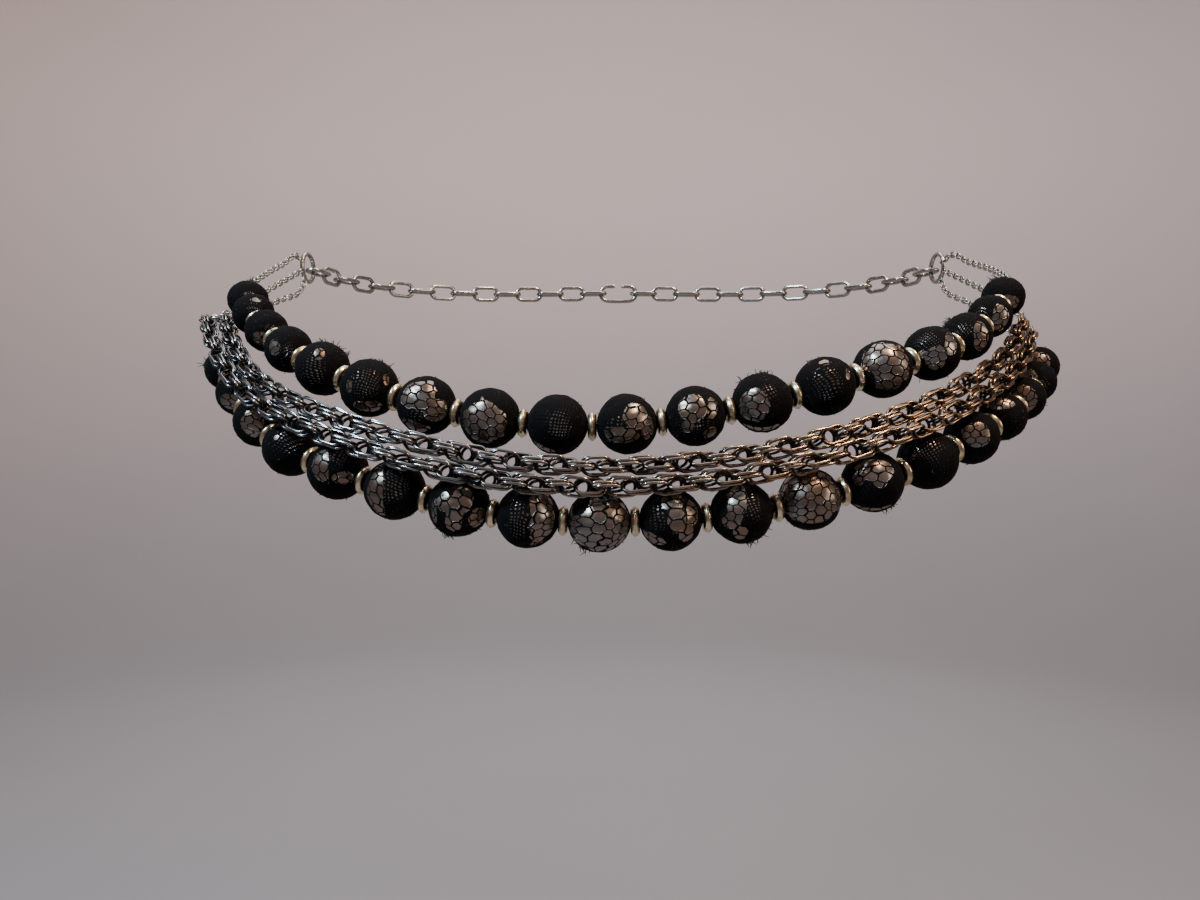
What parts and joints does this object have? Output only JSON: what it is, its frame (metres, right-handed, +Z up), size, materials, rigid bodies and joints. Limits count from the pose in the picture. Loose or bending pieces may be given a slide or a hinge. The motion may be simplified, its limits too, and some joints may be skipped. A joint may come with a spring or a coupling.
{
  "type": "chain trimmed belt",
  "caption": "Hip belt of lace covered beads in rows with metal spacer rings, rope chains between them and cable chains that close it behind with a hook.",
  "frame": {"origin": "centre of the waist hollow, level with the rope chains at the middle of the front", "axes": "+X to the wearer's left, which is the viewer's right seen from in front, +Y to the wearer's back, +Z up along the waist"},
  "size_m": [0.2458, 0.2184, 0.0978],
  "materials": {
    "lace_bead": "black lace stretched over satin champagne beads",
    "spacer_metal": "polished pale gold plating on ridged spacer rings",
    "rope_chain_metal": "polished gunmetal links with a warm tone",
    "cable_chain_metal": "bright silver plated links, rings and hook"
  },
  "bodies": {
    "root": {"upper_bead_01": "lace_bead", "upper_bead_02": "lace_bead", "upper_bead_03": "lace_bead", "upper_bead_04": "lace_bead", "upper_bead_05": "lace_bead", "upper_bead_06": "lace_bead", "upper_bead_07": "lace_bead", "upper_bead_08": "lace_bead", "upper_bead_09": "lace_bead", "upper_bead_10": "lace_bead", "upper_bead_11": "lace_bead", "upper_bead_12": "lace_bead", "upper_bead_13": "lace_bead", "upper_bead_14": "lace_bead", "upper_bead_15": "lace_bead", "upper_bead_16": "lace_bead", "upper_bead_17": "lace_bead", "upper_bead_18": "lace_bead", "lower_bead_01": "lace_bead", "lower_bead_02": "lace_bead", "lower_bead_03": "lace_bead", "lower_bead_04": "lace_bead", "lower_bead_05": "lace_bead", "lower_bead_06": "lace_bead", "lower_bead_07": "lace_bead", "lower_bead_08": "lace_bead", "lower_bead_09": "lace_bead", "lower_bead_10": "lace_bead", "lower_bead_11": "lace_bead", "lower_bead_12": "lace_bead", "lower_bead_13": "lace_bead", "lower_bead_14": "lace_bead", "lower_bead_15": "lace_bead", "lower_bead_16": "lace_bead", "lower_bead_17": "lace_bead", "lower_bead_18": "lace_bead", "lower_bead_19": "lace_bead", "upper_string": "spacer_metal", "lower_string": "spacer_metal", "upper_rope_chain": "rope_chain_metal", "lower_rope_chain": "rope_chain_metal", "left_rope_ring": "cable_chain_metal", "left_upper_tail": "cable_chain_metal", "left_rope_tail": "cable_chain_metal", "left_lower_tail": "cable_chain_metal", "left_gather_ring": "cable_chain_metal", "left_closing_chain": "cable_chain_metal", "right_rope_ring": "cable_chain_metal", "right_upper_tail": "cable_chain_metal", "right_rope_tail": "cable_chain_metal", "right_lower_tail": "cable_chain_metal", "right_gather_ring": "cable_chain_metal", "right_closing_chain": "cable_chain_metal", "closing_hook": "cable_chain_metal"}
  },
  "joints": []
}
